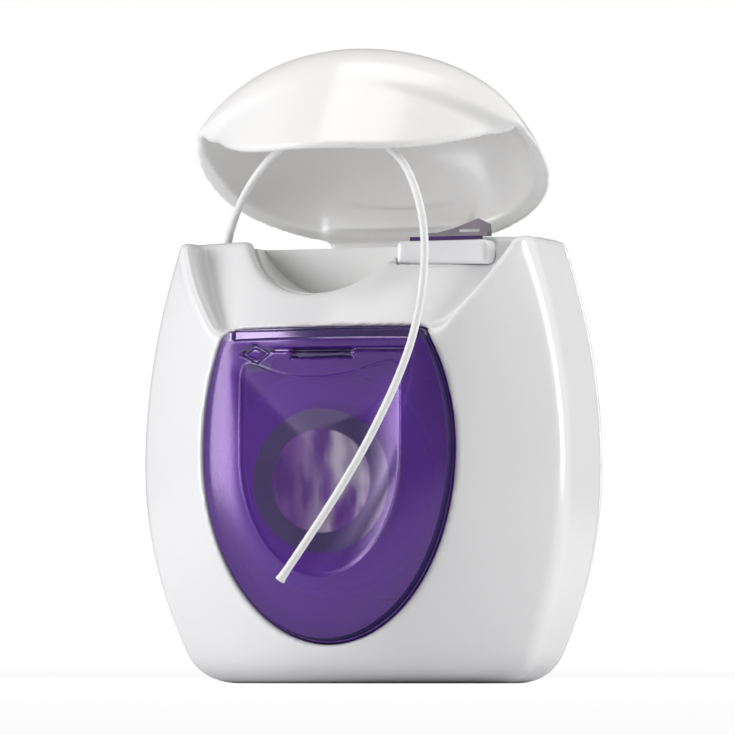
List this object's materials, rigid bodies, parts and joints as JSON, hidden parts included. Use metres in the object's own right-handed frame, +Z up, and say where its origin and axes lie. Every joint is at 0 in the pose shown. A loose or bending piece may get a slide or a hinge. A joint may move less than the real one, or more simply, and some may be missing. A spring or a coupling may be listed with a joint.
{
  "type": "dental floss dispenser",
  "caption": "Pocket floss dispenser: white pillow-shaped case with a translucent window, an inner spool, a steel cutter and a domed flip-top lid, with a length of floss drawn out.",
  "frame": {"origin": "middle of the flat base, half way between the two creases of the side band", "axes": "+X to the right seen from the window side, +Y to the back, +Z up"},
  "size_m": [0.0476, 0.032, 0.0677],
  "materials": {
    "white_plastic": "smooth moulded white polypropylene, soft gloss",
    "lid_plastic": "smooth moulded white polypropylene, gloss outside and satin inside",
    "purple_clear": "translucent purple styrene, polished",
    "purple_plastic": "purple styrene",
    "core_plastic": "pale moulded plastic",
    "floss": "waxed white filament floss",
    "steel": "stamped stainless steel"
  },
  "bodies": {
    "case": {"front_shell": "white_plastic", "rear_shell": "white_plastic", "deck_plate": "white_plastic", "window": "purple_clear", "inner_frame": "purple_plastic", "floss_feed": "floss", "floss_strand": "floss", "cutter_block": "white_plastic", "cutter_carrier": "purple_plastic", "floss_cutter": "steel"},
    "lid": {"lid": "lid_plastic"},
    "spool": {"bobbin_core": "core_plastic", "floss_winding": "floss"}
  },
  "joints": [
    {"name": "lid_hinge", "type": "hinge", "parent": "case", "child": "lid", "pos_m": [0, 0.01015, 0.0461], "axis": [-1, 0, 0], "range_deg": [-38, 45], "deforming": ["floss_strand"]},
    {"name": "spool_spin", "type": "hinge", "parent": "case", "child": "spool", "pos_m": [0, 0, 0.0211], "axis": [0, 1, 0], "continuous": true}
  ]
}
